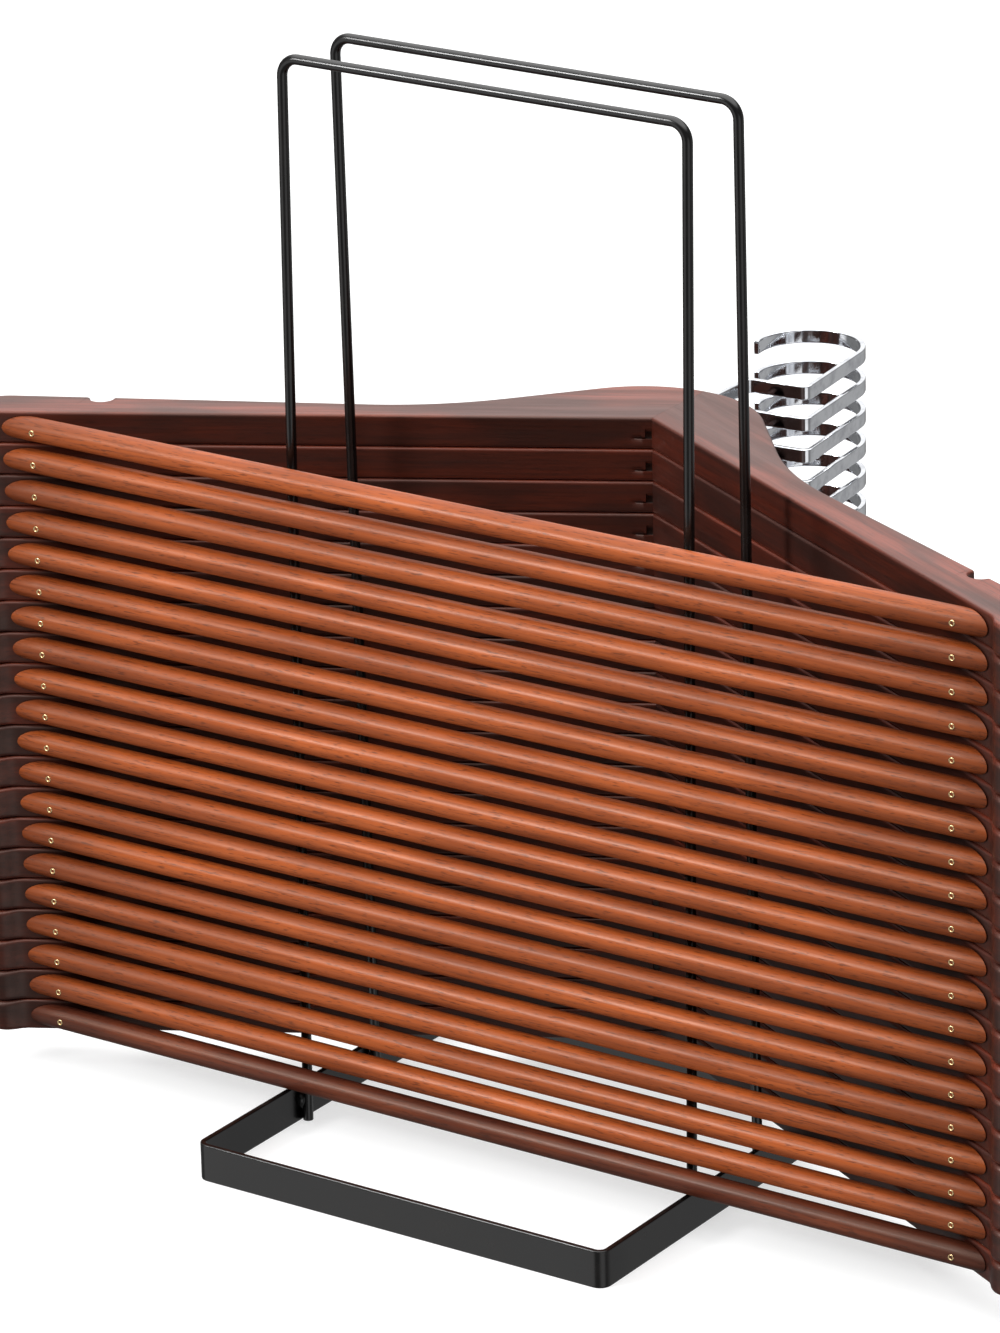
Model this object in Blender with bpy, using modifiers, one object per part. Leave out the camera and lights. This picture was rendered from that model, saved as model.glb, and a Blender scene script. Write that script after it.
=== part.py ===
"""A wire hanger rack holding a stack of wooden hangers that have trouser bars.

Run with: blender --background --python part.py
Metres, +Z up. The hangers lie flat, one on another, around two wire loops that rise from a base ring
of flat bar. The origin is on the floor, at the middle of the outline seen from above. The trouser bars
are at the front (-Y) and the hooks at the back (+Y).
"""
import math

import bmesh
import bpy
from mathutils import Matrix, Vector

# Stack
HANGER_COUNT = 20
DETAILED_HANGERS = (20,)          # each arm, the bar and each screw is an object of its own
JOINED_HANGERS = (1, 2, 3, 4, 5, 6)  # the arms and the bar are joined in one object
FIT_GAP = 0.0003                  # between two pieces that touch
ARM_THICKNESS = 0.0117
PITCH = ARM_THICKNESS + FIT_GAP

# Hanger outline seen from above: x along the trouser bar, y from the bar's axis towards the hook
HANGER_WIDTH = 0.445
BAR_DROP = 0.108                  # inside corner of the arms to the bar's axis
END_BEYOND_BAR = 0.0261           # arm end past the place where the bar's axis meets the arm
ARM_TAPER = math.radians(2.8)     # the outer edge is this much flatter than the inner edge
NECK_HEIGHT = 0.0355              # inside corner to the top of the neck
NECK_RADIUS = 0.045
FLANK_SLOPE = math.radians(50)
FLANK_LENGTH = 0.035
FLARE_RADIUS = 0.120
SHOULDER_RADIUS = 0.020
TIP_FILL = 0.93                   # tip radius as a share of half the end's width
TIP_MARGIN = 0.001                # end of the bar to the bend in the arm's inner edge
GLUE_OVERLAP = 0.0005             # how far a joined bar reaches into the arms
NOTCH_FROM_END = 0.0400
NOTCH_WIDTH = 0.0086
NOTCH_DEPTH = 0.005

# Finger joint between the two arms
TONGUE_LENGTH = 0.008
TONGUE_HEIGHT = 0.012
TONGUE_SHARE = 1 / 3              # of the arm's thickness
TONGUE_ROOT = 0.004               # how far the tongue is let into the right arm

# Trouser bar and its screws
BAR_DIAMETER = 0.0088
BAR_SIDES = 12
SCREW_HEAD_DIAMETER = 0.0024
SCREW_HEAD_HEIGHT = 0.0005
SCREW_SHANK_DIAMETER = 0.0012
SCREW_LENGTH = 0.0160
SCREW_CLEARANCE = 0.0002          # shank to the wall of its hole
SCREW_INSET = 0.0015              # past the place where the cut end of the bar begins
SCREW_SIDES = 6

# Hook: a flat strip on edge, bent in the plane of the hanger
STRIP_THICKNESS = 0.0020
STRIP_HEIGHT = 0.0052
SHANK_LENGTH = 0.0285             # neck to the first bend
JOG_LENGTH = 0.0235
JOG_RISE = math.radians(5)
BEND_RADIUS = 0.003
CURL_RADIUS = 0.020
CURL_ABOVE_NECK = 0.0715          # neck to the middle of the curl
CURL_SHIFT = -0.0015              # the middle of the curl to the shank's axis
CURL_TURN = math.radians(187)
BORE_CLEARANCE = 0.0004           # shank's corners to the wall of its bore
BORE_FLOOR = 0.0015               # wood between the bore and the finger joint
BORE_SIDES = 8

# Rack
WIRE_DIAMETER = 0.0037
LOOP_SPACING = 0.0429             # front legs to back legs, at the floor
LOOP_LEAN = 0.0059                # each loop's top leans in by this much
LOOP_ABOVE_STACK = 0.1415         # top of the stack to the middle of the top wire
LOOP_CORNER_RADIUS = 0.0065
LEG_LIFT = 0.0003                 # the legs end just above the floor
LEG_TO_ARM = 0.0138               # back legs to the inner edges of the arms
BAR_TO_LEG = 0.0029               # trouser bars to the front legs
STACK_SHIFT = 0.0054              # the stack sits this far to the right of the rack's middle
BASE_DEPTH = 0.167
BASE_HEIGHT = 0.014
BASE_THICKNESS = 0.002
BASE_CORNER_RADIUS = 0.0045

# Working allowances
CUT_MARGIN = 0.010                # a cutter or an uncut dowel reaches this far past the piece
MERGE_DISTANCE = 0.000002         # points closer than this are one point

# Values that follow from those above
HALF_WIDTH = HANGER_WIDTH / 2
BAR_RADIUS = BAR_DIAMETER / 2
WIRE_RADIUS = WIRE_DIAMETER / 2
NECK_TOP = BAR_DROP + NECK_HEIGHT
INNER_SLOPE = math.atan2(BAR_DROP, HALF_WIDTH - END_BEYOND_BAR)
OUTER_SLOPE = INNER_SLOPE - ARM_TAPER
BAR_FLAT = BAR_RADIUS * math.cos(math.pi / BAR_SIDES)
STRIP_DIAGONAL = math.hypot(STRIP_THICKNESS, STRIP_HEIGHT)
BORE_RADIUS = (STRIP_DIAGONAL / 2 + BORE_CLEARANCE) / math.cos(math.pi / BORE_SIDES)
BORE_DEPTH = NECK_HEIGHT - TONGUE_HEIGHT - BORE_FLOOR
BAR_AHEAD = LOOP_SPACING / 2 + WIRE_RADIUS + BAR_TO_LEG + BAR_RADIUS
HOOK_REACH = NECK_TOP + CURL_ABOVE_NECK + CURL_RADIUS + STRIP_THICKNESS / 2
RACK_X = -STACK_SHIFT
RACK_Y = (BASE_DEPTH / 2 + BAR_AHEAD - HOOK_REACH) / 2
HANGER_Y = RACK_Y - BAR_AHEAD
STACK_BOTTOM = BASE_HEIGHT + FIT_GAP
LOOP_TOP = STACK_BOTTOM + HANGER_COUNT * PITCH + LOOP_ABOVE_STACK

ARM_BROWN = (0.075, 0.022, 0.014)
BAR_BROWN = (0.400, 0.100, 0.038)
SATIN_BLACK = (0.012, 0.012, 0.012)
CHROME = (0.780, 0.790, 0.800)
BRASS = (0.700, 0.520, 0.260)


def inner_half_width(y):
    """Half the clear width between the arms' inner edges, at y from the bar's axis."""
    return (BAR_DROP - y) / math.tan(INNER_SLOPE)


LOOP_HALF_WIDTH = inner_half_width(BAR_AHEAD + LOOP_SPACING / 2) - LEG_TO_ARM - STACK_SHIFT


# ---------------------------------------------------------------- scene

def clear_scene():
    for old in list(bpy.data.objects):
        bpy.data.objects.remove(old, do_unlink=True)


def new_collection(name):
    collection = bpy.data.collections.new(name)
    bpy.context.scene.collection.children.link(collection)
    return collection


def new_material(name, color, roughness, metallic=0.0):
    material = bpy.data.materials.new(name)
    material.use_nodes = True
    shader = material.node_tree.nodes["Principled BSDF"]
    shader.inputs["Base Color"].default_value = (*color, 1.0)
    shader.inputs["Roughness"].default_value = roughness
    shader.inputs["Metallic"].default_value = metallic
    return material


def place(name, data, collection, parent=None, location=(0, 0, 0)):
    """Adds one named object to a collection, under an optional parent."""
    placed = bpy.data.objects.new(name, data)
    collection.objects.link(placed)
    placed.parent = parent
    placed.location = location
    return placed


# ---------------------------------------------------------------- outlines

def straight_on(points, heading, length):
    x, y = points[-1]
    points.append((x + length * math.cos(heading), y + length * math.sin(heading)))


def turn_on(points, heading, radius, angle, steps):
    """Adds an arc that leaves the last point along heading; a negative angle turns right."""
    side = math.copysign(1.0, angle)
    x, y = points[-1]
    middle_x = x - side * radius * math.sin(heading)
    middle_y = y + side * radius * math.cos(heading)
    for step in range(1, steps + 1):
        turned = heading + angle * step / steps
        out_x, out_y = side * radius * math.sin(turned), side * radius * math.cos(turned)
        points.append((middle_x + out_x, middle_y - out_y))
    return heading + angle


def tangent_heading(start, middle, radius):
    """Heading of the line from start that touches a circle and leaves it on the left."""
    dx, dy = middle[0] - start[0], middle[1] - start[1]
    return math.atan2(dy, dx) - math.asin(radius / math.hypot(dx, dy))


def add_bend(points, corner, after, radius, steps):
    """Rounds the corner between the last point and the point after it."""
    x, y = points[-1]
    heading = math.atan2(corner[1] - y, corner[0] - x)
    leaving = math.atan2(after[1] - corner[1], after[0] - corner[0])
    turn = math.remainder(leaving - heading, math.tau)
    cut_back = radius * math.tan(abs(turn) / 2)
    straight_on(points, heading, math.dist((x, y), corner) - cut_back)
    turn_on(points, heading, radius, turn, steps)


def widened(path, width):
    """The closed outline of a strip of even width along an open path."""
    sides = ([], [])
    for index, point in enumerate(path):
        here = Vector(point)
        before = (here - Vector(path[index - 1])).normalized() if index else None
        after = (Vector(path[index + 1]) - here).normalized() if index + 1 < len(path) else None
        along = ((before or after) + (after or before)).normalized()
        across = Vector((-along.y, along.x))
        stretch = 1.0 / max(along.dot(before or after), 0.5)
        for side, points in zip((1, -1), sides):
            points.append(tuple(here + across * (side * stretch * width / 2)))
    return sides[0] + sides[1][::-1]


def rounded_rectangle(width, depth, radius, steps):
    points = [(-width / 2 + radius, -depth / 2)]
    heading = 0.0
    for length in (width, depth, width, depth):
        straight_on(points, heading, length - 2 * radius)
        heading = turn_on(points, heading, radius, math.pi / 2, steps)
    return points[:-1]


# ---------------------------------------------------------------- mesh tools

def baked_mesh(source):
    """The mesh of a curve or a modified object, welded and facing outwards; the object is removed."""
    graph = bpy.context.evaluated_depsgraph_get()
    mesh = bpy.data.meshes.new_from_object(source.evaluated_get(graph))
    mesh.name = source.name
    bpy.data.objects.remove(source, do_unlink=True)
    cleaned = bmesh.new()
    cleaned.from_mesh(mesh)
    bmesh.ops.remove_doubles(cleaned, verts=cleaned.verts, dist=MERGE_DISTANCE)
    bmesh.ops.recalc_face_normals(cleaned, faces=cleaned.faces)
    cleaned.to_mesh(mesh)
    cleaned.free()
    return mesh


def plate_mesh(name, outlines, thickness):
    """A flat outline, with any inner outlines as holes, as thick as given and centred on its plane."""
    curve = bpy.data.curves.new(name, "CURVE")
    curve.dimensions = "2D"
    curve.fill_mode = "BOTH"
    curve.extrude = thickness / 2
    for outline in outlines:
        spline = curve.splines.new("POLY")
        spline.points.add(len(outline) - 1)
        for point, (x, y) in zip(spline.points, outline):
            point.co = (x, y, 0, 1)
        spline.use_cyclic_u = True
    return baked_mesh(place(name, curve, bpy.context.scene.collection))


def cylinder_mesh(name, radius, start, end, sides):
    """A cylinder between two points, with one of its flat sides facing -Y or -Z."""
    start, end = Vector(start), Vector(end)
    axis = end - start
    shape = bmesh.new()
    ends = {"radius1": radius, "radius2": radius, "depth": axis.length}
    bmesh.ops.create_cone(shape, cap_ends=True, segments=sides, **ends)
    bmesh.ops.rotate(shape, verts=shape.verts, matrix=Matrix.Rotation(math.pi / sides, 3, "Z"))
    bmesh.ops.rotate(shape, verts=shape.verts, matrix=axis.to_track_quat("Z", "Y").to_matrix())
    bmesh.ops.translate(shape, verts=shape.verts, vec=(start + end) / 2)
    mesh = bpy.data.meshes.new(name)
    shape.to_mesh(mesh)
    shape.free()
    return mesh


def combined(mesh, operation, tools, cutters):
    """The mesh after an exact Boolean with each tool mesh."""
    body = place(mesh.name, mesh, bpy.context.scene.collection)
    for tool in tools:
        cutter = place(tool.name, tool, cutters)
        cutter.display_type = "WIRE"
        cutter.hide_render = True
        boolean = body.modifiers.new(operation.title(), "BOOLEAN")
        boolean.operation = operation
        boolean.solver = "EXACT"
        boolean.object = cutter
    return baked_mesh(body)


def mirrored(mesh, name):
    """A copy of the mesh on the other side of x = 0."""
    shape = bmesh.new()
    shape.from_mesh(mesh)
    bmesh.ops.scale(shape, verts=shape.verts, vec=(-1, 1, 1))
    bmesh.ops.reverse_faces(shape, faces=shape.faces)
    copy = bpy.data.meshes.new(name)
    shape.to_mesh(copy)
    shape.free()
    return copy


def round_shaded(mesh):
    mesh.shade_smooth()
    mesh.set_sharp_from_angle(angle=math.radians(40))
    return mesh


# ---------------------------------------------------------------- hanger

def arm_outline(seam):
    """Outline of the right arm, clockwise from the top of the neck; seam is where it starts in x."""
    points = [(0.0, NECK_TOP)]
    heading = turn_on(points, 0.0, NECK_RADIUS, -FLANK_SLOPE, 5)
    straight_on(points, heading, FLANK_LENGTH)
    heading = turn_on(points, heading, FLARE_RADIUS, FLANK_SLOPE - OUTER_SLOPE, 4)
    add_strap_notch(points, heading)
    shoulder_x = HALF_WIDTH - SHOULDER_RADIUS * (1 - math.sin(OUTER_SLOPE))
    straight_on(points, heading, (shoulder_x - points[-1][0]) / math.cos(OUTER_SLOPE))
    heading = turn_on(points, heading, SHOULDER_RADIUS, OUTER_SLOPE - math.pi / 2, 4)
    add_tip(points, heading)
    points.append((seam, BAR_DROP - seam * math.tan(INNER_SLOPE)))
    points[0] = (seam, NECK_TOP)
    return points


def both_arms_outline():
    """Outline of the two arms as one board, with a single point on the middle line at each corner."""
    right = arm_outline(0.0)
    left = [(-x, y) for x, y in reversed(right[1:-1])]
    return right + left


def add_strap_notch(points, heading):
    """A round-bottomed notch for garment loops, in the outer edge near the end."""
    radius = NOTCH_WIDTH / 2
    edge_x = HALF_WIDTH - NOTCH_FROM_END - radius * math.cos(heading)
    straight_on(points, heading, (edge_x - points[-1][0]) / math.cos(heading))
    inwards = heading - math.pi / 2
    straight_on(points, inwards, NOTCH_DEPTH - radius)
    outwards = turn_on(points, inwards, radius, math.pi, 5)
    straight_on(points, outwards, NOTCH_DEPTH - radius)


def add_tip(points, heading):
    """The round end of the arm, and the short edge back to the bend just past the bar."""
    bend_x = inner_half_width(-BAR_RADIUS) + TIP_MARGIN
    bend = (bend_x, BAR_DROP - bend_x * math.tan(INNER_SLOPE))
    radius = TIP_FILL * (HALF_WIDTH - bend_x) / 2
    middle = (points[-1][0] - radius, points[-1][1])
    across = math.atan2(bend[1] - middle[1], bend[0] - middle[0])
    leaving = across - math.asin(radius / math.dist(middle, bend))
    turn = (leaving - heading) % math.tau - math.tau
    turn_on(points, heading, radius, turn, 5)
    points.append(bend)


def tongue_outline(clearance):
    """The finger that reaches past the seam into the left arm, in plan."""
    reach = -TONGUE_LENGTH - clearance
    top = BAR_DROP + TONGUE_HEIGHT + clearance
    foot = BAR_DROP + reach * math.tan(INNER_SLOPE)
    if clearance:
        below = foot - CUT_MARGIN
        return [(TONGUE_ROOT, top), (TONGUE_ROOT, below), (reach, below), (reach, top)]
    return [(TONGUE_ROOT, top), (TONGUE_ROOT, BAR_DROP), (0, BAR_DROP), (reach, foot), (reach, top)]


def screw_places():
    """Head seat of each screw: on the bar's front face, just past where the bar's back meets the arm."""
    screw_x = inner_half_width(BAR_RADIUS) + SCREW_INSET
    return [Vector((side * screw_x, -BAR_FLAT - FIT_GAP, 0)) for side in (-1, 1)]


def screw_holes():
    """Cutters for the two screw holes, through the bar and blind in the arms."""
    radius = (SCREW_SHANK_DIAMETER / 2 + SCREW_CLEARANCE) / math.cos(math.pi / SCREW_SIDES)
    ahead = Vector((0, -BAR_DIAMETER, 0))
    depth = Vector((0, SCREW_LENGTH + FIT_GAP, 0))
    spans = [(seat + ahead, seat + depth) for seat in screw_places()]
    return [cylinder_mesh("screw_hole", radius, start, end, SCREW_SIDES) for start, end in spans]


def shank_bore():
    """Cutter for the bore that the hook's shank turns in, half in each arm."""
    bottom, mouth = (0, NECK_TOP - BORE_DEPTH, 0), (0, NECK_TOP + CUT_MARGIN, 0)
    return cylinder_mesh("shank_bore", BORE_RADIUS, bottom, mouth, BORE_SIDES)


def arm_meshes(cutters):
    """The left and the right arm, which meet in a finger joint under the hook's bore."""
    tongue_thickness = ARM_THICKNESS * TONGUE_SHARE
    tongue = plate_mesh("tongue", [tongue_outline(0)], tongue_thickness)
    slot = plate_mesh("tongue_slot", [tongue_outline(FIT_GAP)], tongue_thickness + 2 * FIT_GAP)
    plain = plate_mesh("right_arm", [arm_outline(FIT_GAP / 2)], ARM_THICKNESS)
    cuts = screw_holes() + [shank_bore()]
    left = combined(mirrored(plain, "left_arm"), "DIFFERENCE", [slot] + cuts, cutters)
    right = combined(combined(plain, "UNION", [tongue], cutters), "DIFFERENCE", cuts, cutters)
    return left, right


def joined_arms_mesh(cutters):
    """Both arms as one piece, glued at the finger joint."""
    board = plate_mesh("arms", [both_arms_outline()], ARM_THICKNESS)
    return combined(board, "DIFFERENCE", [shank_bore()], cutters)


def bar_mesh(name, gap):
    """A dowel whose ends are cut parallel to the arms' inner edges, at gap from them."""
    reach = inner_half_width(-BAR_RADIUS) + CUT_MARGIN
    dowel = cylinder_mesh(name, BAR_RADIUS, (-reach, 0, 0), (reach, 0, 0), BAR_SIDES)
    shape = bmesh.new()
    shape.from_mesh(dowel)
    for side in (-1, 1):
        facing = Vector((side * math.sin(INNER_SLOPE), math.cos(INNER_SLOPE), 0))
        on_cut = Vector((side * inner_half_width(0), 0, 0)) - facing * gap
        everything = shape.verts[:] + shape.edges[:] + shape.faces[:]
        bmesh.ops.bisect_plane(shape, geom=everything, plane_co=on_cut, plane_no=facing, clear_outer=True)
        open_edges = [edge for edge in shape.edges if edge.is_boundary]
        bmesh.ops.holes_fill(shape, edges=open_edges)
    shape.to_mesh(dowel)
    shape.free()
    return round_shaded(dowel)


def screw_mesh():
    """A screw that holds the bar to an arm: the flat head faces -Y, and the shank runs into the arm."""
    head, shank = SCREW_HEAD_DIAMETER / 2, SCREW_SHANK_DIAMETER / 2
    profile = [(0, SCREW_HEAD_HEIGHT), (head, SCREW_HEAD_HEIGHT), (head, 0), (shank, 0),
               (shank, -SCREW_LENGTH), (0, -SCREW_LENGTH)]
    line = bpy.data.meshes.new("screw")
    points = [(radius, 0, height) for radius, height in profile]
    line.from_pydata(points, [(index, index + 1) for index in range(len(points) - 1)], [])
    turned = place("screw", line, bpy.context.scene.collection)
    screw = turned.modifiers.new("Turn", "SCREW")
    screw.steps = SCREW_SIDES
    screw.render_steps = SCREW_SIDES
    screw.use_merge_vertices = True
    screw.merge_threshold = MERGE_DISTANCE
    mesh = baked_mesh(turned)
    mesh.transform(Matrix.Rotation(math.pi / 2, 4, "X"))
    return round_shaded(mesh)


def hook_mesh():
    """The hook, about its shank's axis: up from the neck, a jog to the side, then the curl."""
    bottom = FIT_GAP - BORE_DEPTH
    elbow = (0, SHANK_LENGTH)
    knee = (JOG_LENGTH, SHANK_LENGTH + JOG_LENGTH * math.tan(JOG_RISE))
    curl_middle = (CURL_SHIFT, CURL_ABOVE_NECK)
    rising = tangent_heading(knee, curl_middle, CURL_RADIUS)
    from_middle = (CURL_RADIUS * math.sin(rising), -CURL_RADIUS * math.cos(rising))
    curl_start = (curl_middle[0] + from_middle[0], curl_middle[1] + from_middle[1])
    path = [(0, bottom)]
    add_bend(path, elbow, knee, BEND_RADIUS, 2)
    add_bend(path, knee, curl_start, BEND_RADIUS, 2)
    path.append(curl_start)
    turn_on(path, rising, CURL_RADIUS, CURL_TURN, 10)
    return plate_mesh("hook", [widened(path, STRIP_THICKNESS)], STRIP_HEIGHT)


# ---------------------------------------------------------------- rack

def base_ring_mesh():
    """Flat bar on edge, bent into a rectangle around the feet of the loops."""
    width = 2 * (LOOP_HALF_WIDTH + WIRE_RADIUS + FIT_GAP + BASE_THICKNESS)
    inner_radius = BASE_CORNER_RADIUS - BASE_THICKNESS
    outer = rounded_rectangle(width, BASE_DEPTH, BASE_CORNER_RADIUS, 4)
    inner = rounded_rectangle(width - 2 * BASE_THICKNESS, BASE_DEPTH - 2 * BASE_THICKNESS, inner_radius, 4)
    return plate_mesh("base_ring", [outer, inner], BASE_HEIGHT)


def loop_curve(name, side):
    """One wire loop, with both feet on the floor; side is -1 for the front loop and 1 for the back."""
    lean = math.atan2(LOOP_LEAN, LOOP_TOP)
    rise = LOOP_TOP / math.cos(lean)
    path = [(-LOOP_HALF_WIDTH, LEG_LIFT)]
    add_bend(path, (-LOOP_HALF_WIDTH, rise), (LOOP_HALF_WIDTH, rise), LOOP_CORNER_RADIUS, 6)
    add_bend(path, (LOOP_HALF_WIDTH, rise), (LOOP_HALF_WIDTH, 0), LOOP_CORNER_RADIUS, 6)
    path.append((LOOP_HALF_WIDTH, LEG_LIFT))
    curve = bpy.data.curves.new(name, "CURVE")
    curve.dimensions = "3D"
    curve.bevel_depth = WIRE_RADIUS
    curve.bevel_resolution = 2
    curve.use_fill_caps = True
    spline = curve.splines.new("POLY")
    spline.points.add(len(path) - 1)
    for point, (x, along) in zip(spline.points, path):
        inwards = side * (LOOP_SPACING / 2 - along * math.sin(lean))
        point.co = (x, inwards, along * math.cos(lean), 1)
    return curve


# ---------------------------------------------------------------- assembly

def build_rack(collection, painted):
    stand = place("rack_stand", None, collection, location=(RACK_X, RACK_Y, 0))
    ring = base_ring_mesh()
    ring.materials.append(painted)
    place("base_ring", ring, collection, stand, (0, 0, BASE_HEIGHT / 2))
    for name, side in (("front_loop", -1), ("rear_loop", 1)):
        curve = loop_curve(name, side)
        curve.materials.append(painted)
        place(name, curve, collection, stand)


def hanger_pieces(cutters, arm_wood, bar_wood, chrome, brass):
    """Piece name, mesh and place in the hanger for each of the three ways of dividing it."""
    left_arm, right_arm = arm_meshes(cutters)
    arms = joined_arms_mesh(cutters)
    loose_bar = bar_mesh("bar", FIT_GAP)
    screwed_bar = combined(bar_mesh("drilled_bar", FIT_GAP), "DIFFERENCE", screw_holes(), cutters)
    frame = combined(arms.copy(), "UNION", [bar_mesh("glued_bar", -GLUE_OVERLAP)], cutters)
    screw, hook = screw_mesh(), hook_mesh()
    finishes = {
        arm_wood: (left_arm, right_arm, arms, frame),
        bar_wood: (loose_bar, screwed_bar),
        brass: (screw,),
        chrome: (hook,),
    }
    for material, meshes in finishes.items():
        for mesh in meshes:
            mesh.materials.clear()
            mesh.materials.append(material)
    middle = Vector((0, 0, 0))
    left_screw, right_screw = screw_places()
    hook_piece = ("hook", hook, Vector((0, NECK_TOP, 0)))
    split = [("left_arm", left_arm, middle), ("right_arm", right_arm, middle), ("bar", screwed_bar, middle),
             ("left_screw", screw, left_screw), ("right_screw", screw, right_screw), hook_piece]
    usual = [("arms", arms, middle), ("bar", loose_bar, middle), hook_piece]
    joined = [("frame", frame, middle), hook_piece]
    return split, usual, joined


def build_hangers(collection, cutters, *materials):
    """Each hanger hangs from the slide of the one under it, so lifting one lifts those above it."""
    split, usual, joined = hanger_pieces(cutters, *materials)
    special = dict.fromkeys(DETAILED_HANGERS, split) | dict.fromkeys(JOINED_HANGERS, joined)
    below = None
    for number in range(1, HANGER_COUNT + 1):
        name = f"hanger_{number:02d}"
        rest = (0, 0, PITCH) if below else (0, HANGER_Y, STACK_BOTTOM + ARM_THICKNESS / 2)
        slide = place(f"{name}_slide", None, collection, below, rest)
        for piece, mesh, location in special.get(number, usual):
            place(f"{name}_{piece}", mesh, collection, slide, location)
        below = slide


def main():
    clear_scene()
    collection = new_collection("hanger_rack")
    cutters = new_collection("cutters")
    build_rack(collection, new_material("satin_black_paint", SATIN_BLACK, 0.35))
    build_hangers(
        collection,
        cutters,
        new_material("dark_stained_wood", ARM_BROWN, 0.40),
        new_material("red_brown_wood", BAR_BROWN, 0.38),
        new_material("polished_chrome", CHROME, 0.08, 1.0),
        new_material("brass_plate", BRASS, 0.30, 1.0),
    )
    cutters.hide_render = True
    bpy.context.view_layer.update()


main()
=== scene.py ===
# %% [markdown]
# # A wire rack with twenty wooden trouser hangers
#
# The rack is two wire loops standing in a ring of flat bar. Twenty flat wooden hangers are threaded over
# the loops and lie one on another. Each hanger is two curved arms that meet in a finger joint, a round
# trouser bar screwed to the fronts of the arms, and a hook bent from chromed strip.
#
# Every visible piece here is a closed skin worked out with numpy, and it rides on the body that the
# engineering model gives it. The engineering model stays underneath for collision and for the joints.

# %% Load the engineering model
import math

import bmesh
import bpy
import numpy as np
from mathutils import Matrix, Vector


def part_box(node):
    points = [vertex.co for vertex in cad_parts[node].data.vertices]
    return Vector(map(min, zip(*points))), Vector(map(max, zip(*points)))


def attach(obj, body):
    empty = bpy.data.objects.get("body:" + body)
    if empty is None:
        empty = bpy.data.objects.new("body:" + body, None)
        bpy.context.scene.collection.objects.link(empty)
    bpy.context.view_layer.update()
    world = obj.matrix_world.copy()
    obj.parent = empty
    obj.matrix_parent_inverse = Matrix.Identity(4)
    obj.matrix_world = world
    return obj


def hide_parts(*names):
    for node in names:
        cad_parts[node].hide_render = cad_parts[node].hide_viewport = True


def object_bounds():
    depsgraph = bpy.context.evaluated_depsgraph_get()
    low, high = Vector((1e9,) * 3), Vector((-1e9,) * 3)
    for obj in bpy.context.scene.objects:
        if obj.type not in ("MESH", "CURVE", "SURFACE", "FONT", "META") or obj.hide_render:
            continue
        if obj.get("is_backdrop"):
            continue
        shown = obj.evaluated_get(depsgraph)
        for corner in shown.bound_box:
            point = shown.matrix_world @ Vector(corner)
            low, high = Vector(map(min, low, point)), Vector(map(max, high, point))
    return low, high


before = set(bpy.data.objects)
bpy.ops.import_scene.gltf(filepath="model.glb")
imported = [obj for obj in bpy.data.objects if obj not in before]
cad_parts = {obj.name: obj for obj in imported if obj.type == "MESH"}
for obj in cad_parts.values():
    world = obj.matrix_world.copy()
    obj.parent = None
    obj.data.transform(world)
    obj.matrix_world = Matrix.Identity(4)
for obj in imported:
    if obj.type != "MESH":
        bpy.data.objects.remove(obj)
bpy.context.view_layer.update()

# %% [markdown]
# ## Where each hanger lies
#
# The engineering model already holds every hanger's place, so nothing is fitted by eye. The two arms of a
# hanger reach from the front tips to the top of the neck. The top of the neck and the middle of the
# thickness give the hanger's own origin: the middle of its trouser bar.

# %% Hanger places
HANGER_COUNT = 20
NECK_TOP = 0.1435          # trouser bar's axis to the top of the neck
ARM_THICKNESS = 0.0117


def wood_nodes(number):
    """The names of the engineering nodes that are the wooden arms of one hanger."""
    name = f"hanger_{number:02d}"
    return [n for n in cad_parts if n.startswith(name) and n.endswith(("_frame", "_arms", "_arm"))]


def hanger_origin(number):
    """The middle of the bar's axis: back from the top of the neck, at half the thickness."""
    low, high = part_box(wood_nodes(number)[0])
    return np.array([0.0, high.y - NECK_TOP, (low.z + high.z) / 2])


origins = {number: hanger_origin(number) for number in range(1, HANGER_COUNT + 1)}
print("lowest and highest hanger at", origins[1].round(4), origins[HANGER_COUNT].round(4))

# %% [markdown]
# ## One way to make every piece
#
# Bars, wires, strips and arms are all long things with a cross-section that changes slowly. Each is a grid
# of points: one row for each station along the piece, and one column for each place around it. The grid
# becomes quads, and the two ends are closed by a flat face or by pinching the last row together. Extrude
# and bevel by hand would make the same shapes, but a grid keeps the edges as fine as the real ones and
# gives each point a known place in the grain.

# %% Grid to mesh
WELD = 1e-6                # points closer than this are one point
SHARP = math.radians(60)   # faces that meet at more than this keep a crisp edge


def tube_faces(rows, columns, capped):
    """Quads between neighbouring rows, wrapped round the columns, and one face on each capped end."""
    index = np.arange(rows * columns).reshape(rows, columns)
    turned = np.roll(index, -1, axis=1)
    quads = np.stack([index[:-1], index[1:], turned[1:], turned[:-1]], axis=-1).reshape(-1, 4)
    faces = quads.tolist()
    if capped[0]:
        faces.append(index[0].tolist())
    if capped[1]:
        faces.append(index[-1, ::-1].tolist())
    return faces


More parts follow.
